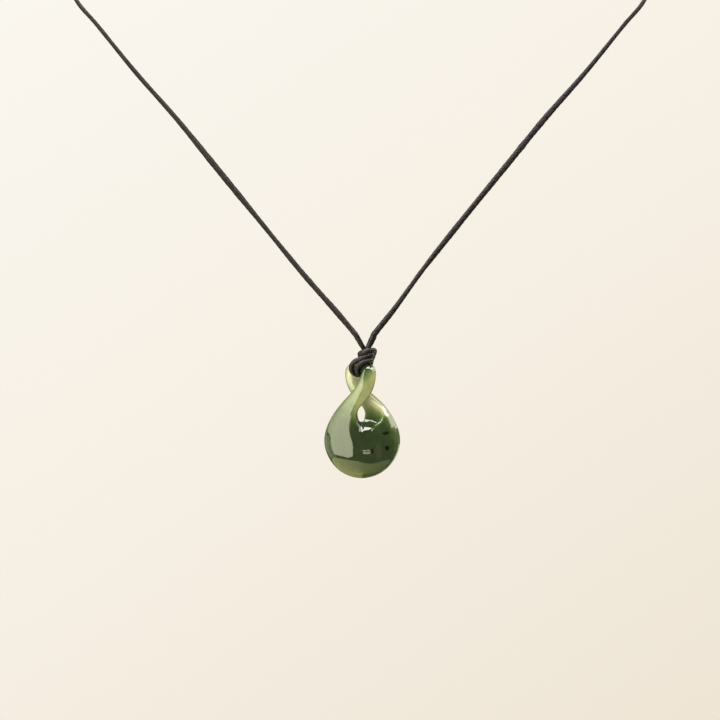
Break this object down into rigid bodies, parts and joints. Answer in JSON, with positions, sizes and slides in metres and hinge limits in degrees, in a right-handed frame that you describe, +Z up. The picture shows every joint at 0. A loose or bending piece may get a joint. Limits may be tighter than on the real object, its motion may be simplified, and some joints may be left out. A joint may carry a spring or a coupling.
{
  "type": "greenstone twist pendant on a cord",
  "caption": "Necklace: a polished greenstone twist with two eyes, hitched through its upper eye to a thin waxed cord that makes a whole loop.",
  "frame": {"origin": "centre of the neck hollow, level with the closing knot at the nape", "axes": "+Z up, +X to the right as seen from the front, the front of the pendant faces -Y"},
  "size_m": [0.1984, 0.1322, 0.2302],
  "materials": {
    "greenstone": "polished, translucent",
    "waxed_cord": "waxed"
  },
  "bodies": {
    "cord": {"cord_left": "waxed_cord", "cord_right": "waxed_cord", "hitch_knot": "waxed_cord", "closing_knot": "waxed_cord"},
    "stone": {"stone": "greenstone"}
  },
  "joints": [
    {"name": "stone_swing", "type": "hinge", "parent": "cord", "child": "stone", "pos_m": [-0.00052, -0.06728, -0.1931], "axis": [0.5736, -0.8192, 0], "range_deg": [-20, 20]}
  ]
}
